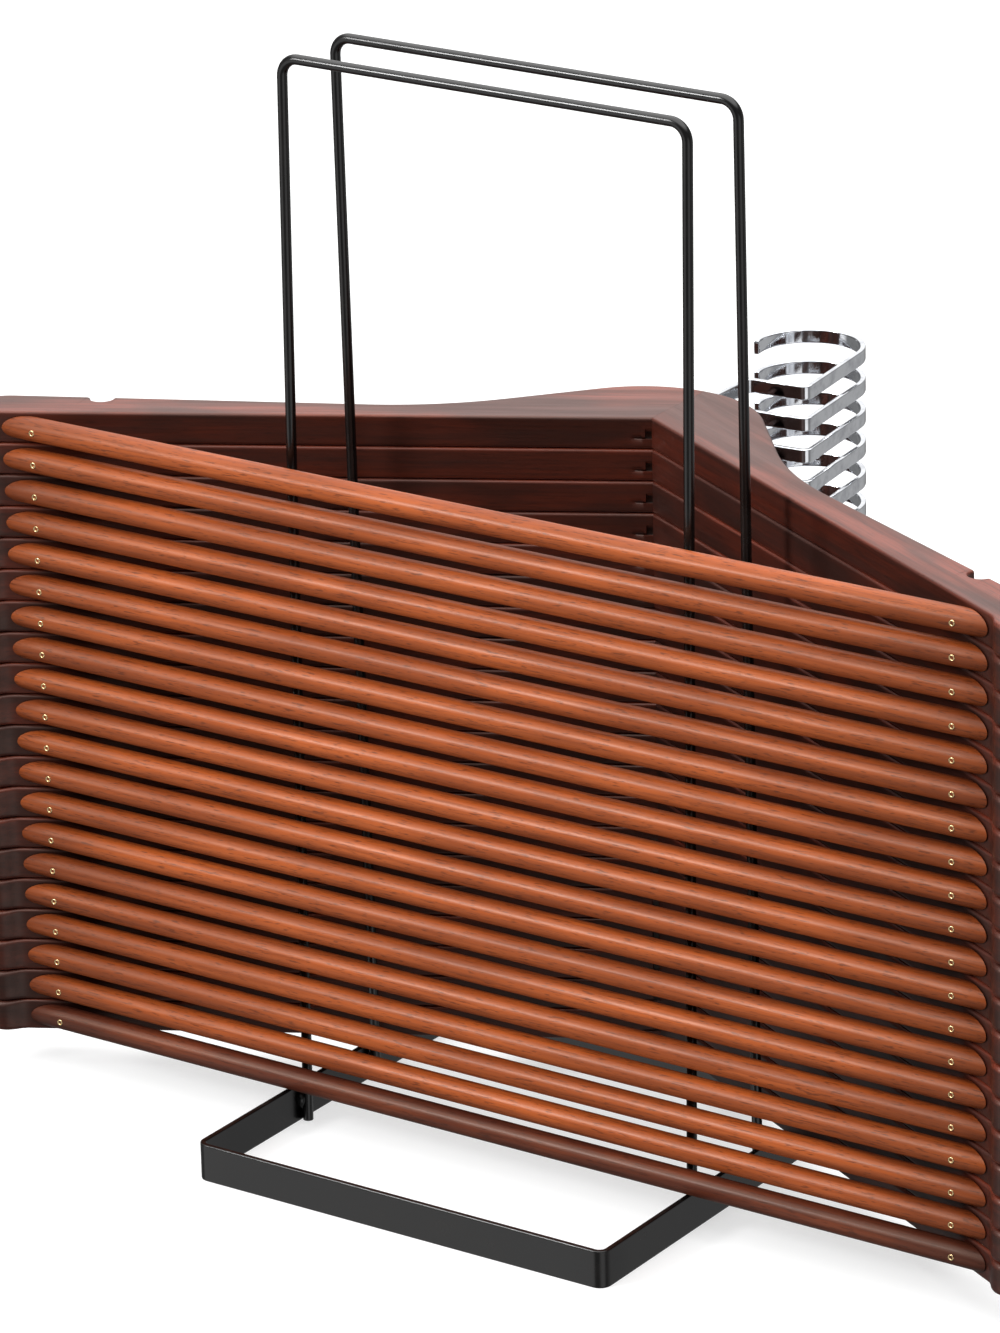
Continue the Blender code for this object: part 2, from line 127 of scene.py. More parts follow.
def skin_mesh(name, rows, capped=(True, True), fields=None):
    """A closed mesh of a grid of points. fields are named vectors, one for each point of the grid."""
    count, columns = rows.shape[:2]
    mesh = bpy.data.meshes.new(name)
    mesh.from_pydata(rows.reshape(-1, 3).tolist(), [], tube_faces(count, columns, capped))
    for field, values in (fields or {}).items():
        attribute = mesh.attributes.new(field, "FLOAT_VECTOR", "POINT")
        attribute.data.foreach_set("vector", np.ascontiguousarray(values, np.float32).ravel())
    shape = bmesh.new()
    shape.from_mesh(mesh)
    bmesh.ops.remove_doubles(shape, verts=shape.verts, dist=WELD)
    bmesh.ops.dissolve_degenerate(shape, edges=shape.edges, dist=WELD)
    if shape.calc_volume(signed=True) < 0:
        bmesh.ops.reverse_faces(shape, faces=shape.faces)
    shape.to_mesh(mesh)
    shape.free()
    mesh.shade_smooth()
    mesh.set_sharp_from_angle(angle=SHARP)
    return mesh


def add_piece(mesh, body, finish, stands_for=()):
    """Puts a finished mesh in the scene: its material, its body and the nodes it replaces."""
    piece = bpy.data.objects.new(mesh.name, mesh)
    bpy.context.scene.collection.objects.link(piece)
    mesh.materials.append(finish)
    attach(piece, body)
    if stands_for:
        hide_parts(*stands_for)
    return piece


print("a closed tube of 3 rows and 4 columns has", len(tube_faces(3, 4, (True, True))), "faces")

# %% [markdown]
# ## A pen for curves
#
# Hanger arms, hooks and wires are drawn with straight runs and arcs. A pen that keeps its heading does
# both: it moves a length while it turns an angle. A bezier curve could be drawn over the same outline,
# but arcs and straights are what a bandsaw template and a bending jig really make.

# %% Pen
def draw(start, heading, moves):
    """Points and headings along a path of moves (length, turn, steps).

    Each small step has a length and a turn. Its chord is the length times sin(half turn) / (half turn), and
    it points half the turn past the heading before it. The running sums of chords are the points.
    """
    lengths = np.concatenate([np.full(n, length / n) for length, turn, n in moves])
    turns = np.concatenate([np.full(n, turn / n) for length, turn, n in moves])
    before = heading + np.concatenate([[0.0], np.cumsum(turns)])
    chords = lengths * np.sinc(turns / math.tau)
    middles = before[:-1] + turns / 2
    steps = chords[:, None] * np.stack([np.cos(middles), np.sin(middles)], axis=-1)
    points = np.concatenate([[start], np.array(start) + np.cumsum(steps, axis=0)])
    walked = np.concatenate([[0.0], np.cumsum(lengths)])
    return points, before, walked


def arc(radius, turn, steps):
    """A move round an arc; a negative turn bends to the right."""
    return abs(radius * turn), turn, steps


def line(length, steps=1):
    """A straight move."""
    return length, 0.0, steps


quarter_circle = draw((0.0, 0.0), 0.0, [arc(1.0, math.pi / 2, 6)])[0]
print("a quarter circle of radius 1 drawn with the pen ends at", quarter_circle[-1].round(3))

# %% [markdown]
# ## Wood
#
# The arms are a dense hardwood stained almost black-red, the bars a lighter red-brown dowel, both under a
# satin lacquer. Wood is a solid: its streaks run through the piece and come out on each face. So each
# point carries its place in the board (along, across, through), and the material reads that instead of a
# flat map. Long thin noise makes the fibres, broad noise makes the patches that the stain took
# differently, and short dark dashes are the open pores.
#
# The side walls of the arms and the ends of the bars are darkened in colour. This is painted shade, where
# less light reaches them. The gap of the finger joint is painted near black, a painted shadow. A second
# vector on the points says how much of each a point gets. Painting a mask by hand would do the same, but
# here the shape already knows where its edges are.

# %% Material helpers
def new_finish(name, **sockets):
    """A material and its shader, with the sockets that are the same all over set on the shader."""
    material = bpy.data.materials.new(name)
    material.use_nodes = True
    shader = material.node_tree.nodes["Principled BSDF"]
    for socket, value in sockets.items():
        shader.inputs[socket.replace("_", " ")].default_value = value
    return material, material.node_tree, shader


def add_node(tree, kind, inputs=None, **settings):
    """Adds a node. A value among its inputs is either a number, a colour or another node's output."""
    node = tree.nodes.new(kind)
    for setting, value in settings.items():
        setattr(node, setting, value)
    for socket, value in (inputs or {}).items():
        if isinstance(value, bpy.types.NodeSocket):
            tree.links.new(value, node.inputs[socket])
        else:
            node.inputs[socket].default_value = value
    return node


# %% Noise, ramps and colours
def noise(tree, place, stretch, detail=3.0, roughness=0.55, scale=1.0):
    """Noise over a place that is first stretched along its three directions."""
    mapping = add_node(tree, "ShaderNodeMapping", {"Vector": place, "Scale": stretch})
    settings = {"Vector": mapping.outputs[0], "Scale": scale, "Detail": detail, "Roughness": roughness}
    return add_node(tree, "ShaderNodeTexNoise", settings).outputs[0]


def ramp(tree, value, low, high, to_low=0.0, to_high=1.0):
    """The value carried from the span low..high to the span to_low..to_high, smoothly."""
    inputs = {"Value": value, "From Min": low, "From Max": high, "To Min": to_low, "To Max": to_high}
    node = add_node(tree, "ShaderNodeMapRange", inputs, interpolation_type="SMOOTHSTEP")
    return node.outputs[0]


def mixed(tree, share, first, second, blend="MIX"):
    """One colour over another by a share."""
    node = add_node(tree, "ShaderNodeMix", data_type="RGBA", blend_type=blend)
    for socket, value in ((node.inputs[0], share), (node.inputs[6], first), (node.inputs[7], second)):
        if isinstance(value, bpy.types.NodeSocket):
            tree.links.new(value, socket)
        else:
            socket.default_value = value
    return node.outputs[2]


def colour(red, green, blue):
    """A linear colour from the 0..255 values of a paint card."""
    card = np.array([red, green, blue]) / 255
    linear = np.where(card <= 0.04045, card / 12.92, ((card + 0.055) / 1.055) ** 2.4)
    return (*linear.tolist(), 1.0)


print("middle grey on a paint card is", round(colour(128, 128, 128)[0], 3), "of the light")

# %% Stained arm wood and lacquered bar wood
PAINTED_SHADE_TINT = (0.34, 0.31, 0.30, 1.0)   # painted shade: what is left of the colour on the arms' side walls and near the bars' ends
LACQUER_TINT = (1.0, 0.78, 0.62, 1.0)  # the lacquer's shine is a little warm


def wood_finish(name, dark, mid, light, pore, pore_share, streak, patch, **sockets):
    """Wood that reads the board's own place from the attribute called grain.

    The colour is mid and light by patches, then dark by bands and by fibres, then pore in the pores. It is
    then multiplied by the shade tint by the Y of the second attribute, which is painted shade on the arms'
    side walls and near the bars' ends. It goes to near black by that attribute's X, which is a painted
    shadow in the gap of the finger joint.
    """
    material, tree, shader = new_finish(name, **sockets)
    place = add_node(tree, "ShaderNodeAttribute", attribute_name="grain").outputs["Vector"]
    fibres = noise(tree, place, (28, 900, 900), detail=4.0, roughness=0.65)
    bands = noise(tree, place, (9, 170, 170), detail=3.0)
    patches = noise(tree, place, (16, 55, 55), detail=2.0)
    pores = noise(tree, place, (190, 2000, 2000), detail=2.0)
    stain = mixed(tree, ramp(tree, patches, 0.38, 0.62, 0.0, patch), mid, light)
    banded = mixed(tree, ramp(tree, bands, 0.35, 0.68, 0.0, streak), stain, dark)
    streaked = mixed(tree, ramp(tree, fibres, 0.40, 0.75, 0.0, streak), banded, dark)
    open_pores = ramp(tree, pores, 0.56, 0.68, 0.0, pore_share)
    porous = mixed(tree, open_pores, streaked, pore)
    painted_shade = add_node(tree, "ShaderNodeAttribute", attribute_name="painted_shade").outputs["Vector"]
    split = add_node(tree, "ShaderNodeSeparateXYZ", {"Vector": painted_shade})
    # painted shade: the side walls of the arms and the ends of the bars are darkened by the attribute's Y
    with_painted_shade = mixed(tree, split.outputs["Y"], porous, PAINTED_SHADE_TINT, "MULTIPLY")
    # painted shadow: the gap of the finger joint goes to near black by the attribute's X
    with_painted_joint_shadow = mixed(tree, ramp(tree, split.outputs["X"], 0.25, 0.8), with_painted_shade, colour(6, 4, 4))
    tree.links.new(with_painted_joint_shadow, shader.inputs["Base Color"])
    gloss = ramp(tree, bands, 0.3, 0.7, sockets["Roughness"] - 0.05, sockets["Roughness"] + 0.07)
    tree.links.new(gloss, shader.inputs["Roughness"])
    relief = mixed(tree, 0.35, fibres, open_pores, "SUBTRACT")
    bump = add_node(tree, "ShaderNodeBump", {"Height": relief, "Strength": 0.22, "Distance": 0.0003})
    tree.links.new(bump.outputs[0], shader.inputs["Normal"])
    return material


arm_wood = wood_finish(
    "dark_stained_wood", colour(50, 23, 19), colour(80, 39, 30), colour(122, 52, 34), colour(26, 12, 10),
    pore_share=0.35, streak=0.6, patch=0.95, Roughness=0.42, Specular_Tint=(1.0, 0.78, 0.68, 1.0),
    Coat_Weight=0.12, Coat_Roughness=0.25,
)
bar_wood = wood_finish(
    "red_brown_wood", colour(108, 47, 20), colour(156, 74, 31), colour(178, 88, 38), colour(70, 27, 13),
    pore_share=0.65, streak=0.6, patch=0.6, Roughness=0.42, Specular_IOR_Level=0.32,
    Specular_Tint=LACQUER_TINT, Coat_Weight=0.05, Coat_Roughness=0.2,
)
dark_bar_wood = wood_finish(
    "dark_red_brown_wood", colour(60, 26, 19), colour(94, 44, 28), colour(124, 60, 33), colour(38, 16, 12),
    pore_share=0.5, streak=0.6, patch=0.6, Roughness=0.42, Specular_IOR_Level=0.32,
    Specular_Tint=LACQUER_TINT, Coat_Weight=0.05, Coat_Roughness=0.2,
)
print("wood finishes:", arm_wood.name, bar_wood.name, dark_bar_wood.name)

# %% [markdown]
# ## Paint, chrome and brass
#
# The rack is painted satin black: almost no colour, a clean line of shine along each wire and the very
# fine ripple that sprayed paint dries with. The hooks are polished and plated, so nearly everything seen in
# them is the room; only a faint haze and fine rubbing along the strip break it up. The screws are small
# brass-coloured heads. A head's colour turns dark inside a ring, by each point's distance from the middle,
# because a recess that small is mostly shadow and old polish.

# %% Black paint
black_paint, tree, shader = new_finish(
    "satin_black_paint", Base_Color=colour(12, 11, 11), Roughness=0.24, Specular_IOR_Level=0.5,
)
place = add_node(tree, "ShaderNodeTexCoord").outputs["Object"]
ripple = noise(tree, place, (900, 900, 900), detail=2.0)
dust = noise(tree, place, (70, 70, 70), detail=3.0)
tree.links.new(ramp(tree, dust, 0.35, 0.7, 0.20, 0.28), shader.inputs["Roughness"])
bump = add_node(tree, "ShaderNodeBump", {"Height": ripple, "Strength": 0.05, "Distance": 0.0002})
tree.links.new(bump.outputs[0], shader.inputs["Normal"])
dusted = mixed(tree, ramp(tree, dust, 0.4, 0.75), colour(10, 9, 9), colour(20, 18, 17))
tree.links.new(dusted, shader.inputs["Base Color"])
print("rack finish:", black_paint.name)

# %% Chrome and brass
chrome, tree, shader = new_finish(
    "polished_chrome", Base_Color=colour(226, 228, 232), Roughness=0.06, Metallic=1.0,
)
place = add_node(tree, "ShaderNodeTexCoord").outputs["Object"]
haze = noise(tree, place, (160, 160, 160), detail=3.0)
rubs = noise(tree, place, (300, 300, 4000), detail=2.0)
tree.links.new(ramp(tree, haze, 0.35, 0.75, 0.045, 0.14), shader.inputs["Roughness"])
bump = add_node(tree, "ShaderNodeBump", {"Height": rubs, "Strength": 0.05, "Distance": 0.0001})
tree.links.new(bump.outputs[0], shader.inputs["Normal"])
hazy = mixed(tree, ramp(tree, haze, 0.4, 0.8), colour(230, 232, 236), colour(200, 202, 208))
tree.links.new(hazy, shader.inputs["Base Color"])

brass, tree, shader = new_finish(
    "brass_plate", Base_Color=colour(224, 196, 140), Roughness=0.25, Metallic=1.0,
)
place = add_node(tree, "ShaderNodeAttribute", attribute_name="grain").outputs["Vector"]
from_middle = add_node(tree, "ShaderNodeSeparateXYZ", {"Vector": place}).outputs[0]
RIM, RECESS = 0.55, 0.40    # shares of the head's radius
recessed = mixed(tree, ramp(tree, from_middle, RIM, RECESS), colour(226, 200, 150), colour(58, 34, 20))
tree.links.new(recessed, shader.inputs["Base Color"])
tree.links.new(ramp(tree, from_middle, RIM, RECESS, 0.22, 0.7), shader.inputs["Roughness"])
print("hook and screw finishes:", chrome.name, brass.name)

# %% [markdown]
# ## Hanger arms
#
# An arm is a flat board sawn to a curved outline, with all its edges rounded over. Its outer edge swells
# from the neck, flares out to a straight shoulder with a small round notch for garment loops, and turns
# round the end. Its inner edge is straight from the corner under the neck to just past the trouser bar.
# Both edges are drawn with the pen from the joint to the same point on the tip, and every station joins
# a place on the one to a place on the other.

# %% Arm sizes
BAR_DROP = 0.108           # inside corner of the arms to the bar's axis
HALF_WIDTH = 0.2225
AXIS_FROM_TIP = 0.0261     # where the bar's axis meets the inner edge, in from the tip
ARM_TAPER = math.radians(2.8)
INNER_SLOPE = math.atan2(BAR_DROP, HALF_WIDTH - AXIS_FROM_TIP)
OUTER_SLOPE = INNER_SLOPE - ARM_TAPER
NECK_RADIUS, FLANK_SLOPE, FLANK_LENGTH, FLARE_RADIUS = 0.045, math.radians(50), 0.035, 0.120
SHOULDER_RADIUS = 0.020
NOTCH_CORNER, NOTCH_RADIUS, NOTCH_TURN = 0.0012, 0.0041, math.radians(86)
NOTCH_FROM_END = 0.0400
BAR_RADIUS = 0.0044
BEND_PAST_BAR = 0.001      # the inner edge bends this far outside the bar
BEND_X = (BAR_DROP + BAR_RADIUS) / math.tan(INNER_SLOPE) + BEND_PAST_BAR
TIP_ROUNDNESS = 0.93       # 1 would be a full half circle
TIP_RADIUS = TIP_ROUNDNESS * (HALF_WIDTH - BEND_X) / 2
BEND_EASE = 0.008          # radius that eases the bend in the inner edge
SEAM = 0.00003             # half the gap between the two arms
NOTCH_CORNER_STEPS, NOTCH_STEPS = 5, 14
STRAIGHT_STEPS, SHOULDER_STEPS, TIP_STEPS = 4, 12, 5


def outer_edge():
    """The right arm's outer edge, from the top of the neck to the far point of the tip.

    Neck, flank and flare, then a straight run whose length puts the notch at its place, the notch, a second
    straight run up to the round shoulder, and the tip.
    """
    start = [
        arc(NECK_RADIUS, -FLANK_SLOPE, 16), line(FLANK_LENGTH, 5),
        arc(FLARE_RADIUS, FLANK_SLOPE - OUTER_SLOPE, 14),
    ]
    reached = draw((0.0, NECK_TOP), 0.0, start)[0][-1]
    half_notch = (NOTCH_CORNER + NOTCH_RADIUS) * math.sin(NOTCH_TURN)
    to_notch = (HALF_WIDTH - NOTCH_FROM_END - reached[0]) / math.cos(OUTER_SLOPE) - half_notch
    notch = [
        line(to_notch, 14), arc(NOTCH_CORNER, -NOTCH_TURN, NOTCH_CORNER_STEPS),
        arc(NOTCH_RADIUS, 2 * NOTCH_TURN, NOTCH_STEPS), arc(NOTCH_CORNER, -NOTCH_TURN, NOTCH_CORNER_STEPS),
    ]
    reached = draw((0.0, NECK_TOP), 0.0, start + notch)[0][-1]
    shoulder_x = HALF_WIDTH - SHOULDER_RADIUS * (1 - math.sin(OUTER_SLOPE))
    to_shoulder = (shoulder_x - reached[0]) / math.cos(OUTER_SLOPE)
    moves = start + notch + [
        line(to_shoulder, STRAIGHT_STEPS),
        arc(SHOULDER_RADIUS, OUTER_SLOPE - math.pi / 2, SHOULDER_STEPS),
        arc(TIP_RADIUS, -INNER_SLOPE, TIP_STEPS),
    ]
    return draw((0.0, NECK_TOP), 0.0, moves)


def inner_edge(far_point):
    """The right arm's inner edge, from the corner under the neck to the same far point of the tip.

    After the bend it runs along the line from the bend that touches the tip's circle, and then round it.
    """
    tip_middle = far_point + TIP_RADIUS * np.array([-math.cos(INNER_SLOPE), math.sin(INNER_SLOPE)])
    bend = np.array([BEND_X, BAR_DROP - BEND_X * math.tan(INNER_SLOPE)])
    away = tip_middle - bend
    run = math.sqrt(away @ away - TIP_RADIUS ** 2)
    leaving = math.atan2(away[1], away[0]) - math.atan2(TIP_RADIUS, run)
    kink = -INNER_SLOPE - leaving
    ease = BEND_EASE * math.tan(kink / 2)
    round_tip = math.pi / 2 - INNER_SLOPE - leaving
    moves = [
        line(math.hypot(*(bend - (0.0, BAR_DROP))) - ease, 200), arc(BEND_EASE, -kink, 20),
        line(run - ease, 10), arc(TIP_RADIUS, round_tip, 60),
    ]
    return draw((0.0, BAR_DROP), -INNER_SLOPE, moves)


outer, outer_heading, outer_walked = outer_edge()
inner_fine, inner_heading_fine, inner_walked = inner_edge(outer[-1])
miss = np.abs(outer[-1] - inner_fine[-1]).max()
print("outer edge", outer_walked[-1].round(4), "m, inner edge", inner_walked[-1].round(4), "m")
print("the two edges miss each other at the tip by", miss.round(6), "m")

# %% [markdown]
# The two edges now need the same number of stations. The places on the inner edge are found by matching a
# few landmarks: the joint, the notch, the start of the round shoulder and the tip. Extra stations near the
# joint hold the end face, the hook's bore and the marks of the finger joint.

# %% Matching stations
shoulder_index = len(outer) - 1 - TIP_STEPS - SHOULDER_STEPS
notch_index = shoulder_index - STRAIGHT_STEPS - NOTCH_CORNER_STEPS - NOTCH_STEPS // 2
NOTCH_ACROSS_X = 0.178     # the place on the inner edge that lies across from the notch
straight_end = np.hypot(BEND_X, BEND_X * math.tan(INNER_SLOPE)) - BEND_EASE / 2
outer_marks = outer_walked[[0, notch_index, shoulder_index, -1]]
inner_marks = [0.0, NOTCH_ACROSS_X / math.cos(INNER_SLOPE), straight_end, inner_walked[-1]]
BORE_RADIUS = 0.0032
TONGUE_LENGTH = 0.008

near_joint = np.array([
    0.0, 0.0004, 0.0008, 0.0014, 0.0019, 0.0023, 0.0026, 0.0028, 0.00295, 0.00305, 0.00312,
    0.00315, BORE_RADIUS, BORE_RADIUS, 0.0042, 0.0056, 0.0066, 0.0073, 0.0078, 0.0080, 0.0082, 0.0088,
])
CLEAR_OF_JOINT = 0.001     # the drawn edge's own stations go on this far after the last extra one
walked = np.concatenate([near_joint, outer_walked[outer_walked > near_joint[-1] + CLEAR_OF_JOINT]])
inner_at = np.interp(walked, outer_marks, inner_marks)


def along_edge(places, points, headings, walked_to):
    """Points and headings at given places along a drawn edge."""
    point = np.stack([np.interp(places, walked_to, points[:, i]) for i in (0, 1)], axis=-1)
    return point, np.interp(places, walked_to, headings)


outer_point, outer_turned = along_edge(walked, outer, outer_heading, outer_walked)
inner_point, inner_turned = along_edge(inner_at, inner_fine, inner_heading_fine, inner_walked)
into_outer = np.stack([np.sin(outer_turned), -np.cos(outer_turned)], axis=-1)
into_inner = np.stack([-np.sin(inner_turned), np.cos(inner_turned)], axis=-1)
stations = len(walked)
print(stations, "stations along an arm")

# %% [markdown]
# A cross-section of the board is a rectangle with four rounded corners. Each column of the grid is one
# place on it, told as: which edge it belongs to, how far in from that edge, and how high. The columns next
# to a rounded corner sit a little way along the flat, so that the flat face shades flat. The hook's bore is
# not cut with a boolean: the columns in the middle of the outer wall open into a half circle at the joint
# and drop to the bottom of the hole, which keeps the grid whole.

# %% Cross-section of an arm
HALF_THICK = ARM_THICKNESS / 2
EDGE_ROUND, TIP_ROUND = 0.0011, 0.0022
FLAT_START = 0.0003        # first column on the flat, past the rounded corner
WALL_LEVELS = np.array([0.0015, 0.00195, 0.0024])   # heights of the columns either side of the middle
WALL_COLUMNS = 2 * len(WALL_LEVELS) + 3
BORE_DEPTH = 0.022
TIP_SWELL = 0.018          # way along the edge over which the rounding grows at the tip
BORE_FADE = 0.016          # way along the edge over which the wall closes up beside the bore

swell = np.clip((walked - outer_walked[shoulder_index]) / TIP_SWELL, 0, 1)
edge_round = EDGE_ROUND + (TIP_ROUND - EDGE_ROUND) * swell ** 2 * (3 - 2 * swell)

quarter = np.linspace(0, math.pi / 2, 5)
corner_inset, corner_drop = 1 - np.sin(quarter), 1 - np.cos(quarter)
CORNER_COLUMNS = len(quarter) + 2
bore_half = np.sqrt(np.clip(BORE_RADIUS ** 2 - walked ** 2, 0, None))
in_bore = np.arange(stations) <= np.flatnonzero(walked == BORE_RADIUS)[0]
closed_share = np.clip((walked - BORE_RADIUS) / BORE_FADE, 0, 1)[:, None]
print("a cross-section has", 4 * CORNER_COLUMNS - 2 + 2 * WALL_COLUMNS, "columns")


# %% Walls and corners
def wall_heights(levels, order):
    """Heights on an edge's wall: the flat's two ends, the levels either side of 0, and 0.

    They go up in order 1, and down in order -1.
    """
    high = HALF_THICK - edge_round - FLAT_START
    zero = np.zeros(stations)
    return np.stack([-high, *(-levels.T[::-1]), zero, *levels.T, high], axis=-1)[:, ::order]


def corner_part(side, sign):
    """Columns of one corner, from the middle of the flat face to the wall: edge, inset and height of each.

    Round the corner the inset is r (1 - sin a) and the height is half the thickness less r (1 - cos a).
    """
    flats = [0.5, side]
    start = (edge_round + FLAT_START)[:, None]
    top = np.full((stations, 1), sign * HALF_THICK)
    inset = np.hstack([start, start, edge_round[:, None] * corner_inset])
    height = np.hstack([top, top, sign * (HALF_THICK - edge_round[:, None] * corner_drop)])
    return np.array(flats + [side] * len(quarter), float), inset, height


print("the rounding grows from", EDGE_ROUND, "to", edge_round.max().round(4), "m at the tip")

# %% [markdown]
# The arms are glued end to end with one long finger, the tongue, and from inside the joint shows as a dark
# step. A painted line would look flat from the side. Here the columns of the inner wall near the joint are
# moved in by a millimetre, and the same columns are painted near black, a painted shadow in the gap. Only
# the left arm is cut, because the tongue belongs to the right one.

# %% Finger joint
FINGER_DEPTH = 0.0010      # how deep the marks of the joint are cut
FINGER_WIDTH = 0.0021      # the end of the tongue, from the seam
LOWER_MARK, UPPER_MARK = 2, 5
finger_gap = np.zeros((stations, WALL_COLUMNS))
finger_gap[:, LOWER_MARK] = np.clip(1 - (inner_at / TONGUE_LENGTH) ** 2, 0, 1)
finger_gap[inner_at < FINGER_WIDTH, LOWER_MARK:UPPER_MARK] = 1.0
print("finger joint:", np.count_nonzero(finger_gap), "points are cut in by up to", FINGER_DEPTH, "m")


# %% Rows of an arm
def arm_rows(finger_marks):
    """The right arm about its hanger's origin, row by row from the joint to the tip, and its field of
    painted shade.

    A point is the edge's point moved in along the edge's inward normal; a point in the middle of a flat
    face is half of one edge's and half of the other's. The marks are shallow cuts in the inner wall.
    """
    closed_levels = np.tile(WALL_LEVELS, (stations, 1))
    bore_levels = np.stack([bore_half, bore_half, bore_half + FLAT_START], axis=-1)
    outer_levels = bore_levels * (1 - closed_share) + closed_levels * closed_share
    inner_heights, outer_heights = wall_heights(closed_levels, 1), wall_heights(outer_levels, -1)

    marks = finger_gap * finger_marks
    parts = [
        corner_part(0, -1), (np.zeros(WALL_COLUMNS), FINGER_DEPTH * marks, inner_heights),
        tuple(np.flip(part, -1) for part in corner_part(0, 1)),
        tuple(part[..., 1:] for part in corner_part(1, 1)),
        (np.ones(WALL_COLUMNS), np.zeros(outer_heights.shape), outer_heights),
        tuple(np.flip(part[..., 1:], -1) for part in corner_part(1, -1)),
    ]
    side, inset, height = (np.concatenate([part[i] for part in parts], axis=-1) for i in range(3))
    from_inner = inner_point[:, None] + inset[..., None] * into_inner[:, None]
    from_outer = outer_point[:, None] + inset[..., None] * into_outer[:, None]
    plan = from_inner * (1 - side[:, None]) + from_outer * side[:, None]
    rows = np.concatenate([plan, height[..., None]], axis=-1)
    rows[0, :, 0] = 0.0
    rows[..., 0] += SEAM

    outer_wall = 3 * CORNER_COLUMNS - 1 + WALL_COLUMNS
    deepest = outer_wall + len(WALL_LEVELS)
    rows[in_bore, deepest:deepest + 3, 1] = NECK_TOP - BORE_DEPTH
    painted_shade = np.zeros(rows.shape)
    # X: painted shadow, near black in the gap of the finger joint
    painted_shade[:, CORNER_COLUMNS:CORNER_COLUMNS + WALL_COLUMNS, 0] = marks
    # Y: painted shade on the side walls, 1 on the walls and 0 on the flat faces
    painted_shade[..., 1] = np.clip((HALF_THICK - np.abs(height)) / edge_round[:, None], 0, 1)
    return rows, painted_shade


arm_sides = {"left": (-1, *arm_rows(True)), "right": (1, *arm_rows(False))}
print("an arm is a grid of", arm_sides["left"][1].shape[:2], "points")


# %% Arms
def grain_of(rows, offset):
    """Place of each point in its own board: along the arm, across it and through it."""
    along = np.array([math.cos(INNER_SLOPE), -math.sin(INNER_SLOPE), 0])
    across = np.array([math.sin(INNER_SLOPE), math.cos(INNER_SLOPE), 0])
    return np.stack([rows @ along, rows @ across, rows[..., 2]], axis=-1) + offset


def board_place():
    """A random place in the tree, so that no two boards have the same grain."""
    return boards.uniform(0, 3, 3)


boards = np.random.default_rng(20)
for number, origin in origins.items():
    hanger, replaced = f"hanger_{number:02d}", wood_nodes(number)
    for side, (sign, rows, painted_shade) in arm_sides.items():
        fields = {"grain": grain_of(rows, board_place()), "painted_shade": painted_shade}
        arm = skin_mesh(f"{hanger}_{side}_arm_wood", rows * (sign, 1, 1) + origin, (True, False), fields)
        own = [node for node in replaced if side in node] or replaced
        add_piece(arm, hanger, arm_wood, own)
print("arms:", 2 * HANGER_COUNT, "pieces of", len(arm.polygons), "faces")

# %% [markdown]
# ## Trouser bars
#
# Each bar is a dowel laid across the fronts of the two arms. Its ends are cut on a slant to lie flat
# against the arms' inner edges, so from the front an end looks like a rounded fingertip. A cylinder cut by
# two planes would leave knife edges; here the rings shrink slightly at each end to soften them. The colour
# darkens towards the ends, which is painted shade where less light reaches them. The lowest bar was turned
# from a darker piece of wood.

# %% Bars
BAR_GAP = 0.0003           # slanted end to the arm
BAR_COLUMNS = 32
END_SOFT = 0.00055
UNSHADED_SPAN, END_SHADE = 0.66, 0.50   # share of the half length without painted shade, and the painted shade at the end
DARK_BAR_HANGER = 1


def bar_rows():
    """Rings of a cylinder along x; the last rings stop on a plane parallel to the arm's inner edge.

    The plane is x = (drop - y) / tan(slope) less the gap. A ring at angle a is y = r cos a, z = r sin a,
    and the ring's x is its share of the plane's x at that y.
    """
    around = np.arange(BAR_COLUMNS) / BAR_COLUMNS * math.tau
    rounding = np.linspace(0, math.pi / 2, 5)
    shares = np.linspace(-1, 1, 41)[1:-1]
    radius = np.concatenate([
        BAR_RADIUS - END_SOFT * (1 - np.cos(rounding[::-1])), np.full(len(shares), BAR_RADIUS),
        BAR_RADIUS - END_SOFT * (1 - np.cos(rounding)),
    ])
    back = END_SOFT * (1 - np.sin(rounding))
    y = radius[:, None] * np.cos(around)
    plane = (BAR_DROP - y) / math.tan(INNER_SLOPE) - BAR_GAP / math.sin(INNER_SLOPE)
    ends = len(rounding)
    x = np.concatenate([
        back[::-1, None] - plane[:ends], shares[:, None] * (plane[ends:-ends] - END_SOFT),
        plane[-ends:] - back[:, None],
    ])
    return np.stack([x, y, radius[:, None] * np.sin(around)], axis=-1)


rows = bar_rows()
from_middle = np.abs(rows[..., 0]) / np.abs(rows[..., 0]).max()
end_painted_shade = np.zeros_like(rows)
# painted shade: the colour darkens over the outer part of each half of the bar
end_painted_shade[..., 1] = END_SHADE * np.clip((from_middle - UNSHADED_SPAN) / (1 - UNSHADED_SPAN), 0, 1)
for number, origin in origins.items():
    hanger = f"hanger_{number:02d}"
    fields = {"grain": rows + board_place(), "painted_shade": end_painted_shade}
    bar = skin_mesh(f"{hanger}_trouser_bar", rows + origin, fields=fields)
    finish = dark_bar_wood if number == DARK_BAR_HANGER else bar_wood
    own = [node for node in (f"{hanger}_bar", f"{hanger}_frame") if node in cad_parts]
    add_piece(bar, hanger, finish, own)
print("bars:", HANGER_COUNT, "pieces of", len(bar.polygons), "faces")

# %% [markdown]
# ## Screws
#
# One small screw through each end of the bar holds it to the arm. Only the head shows: a raised brass ring
# about two millimetres across, round a dark recess. It is a short profile turned about its own axis.

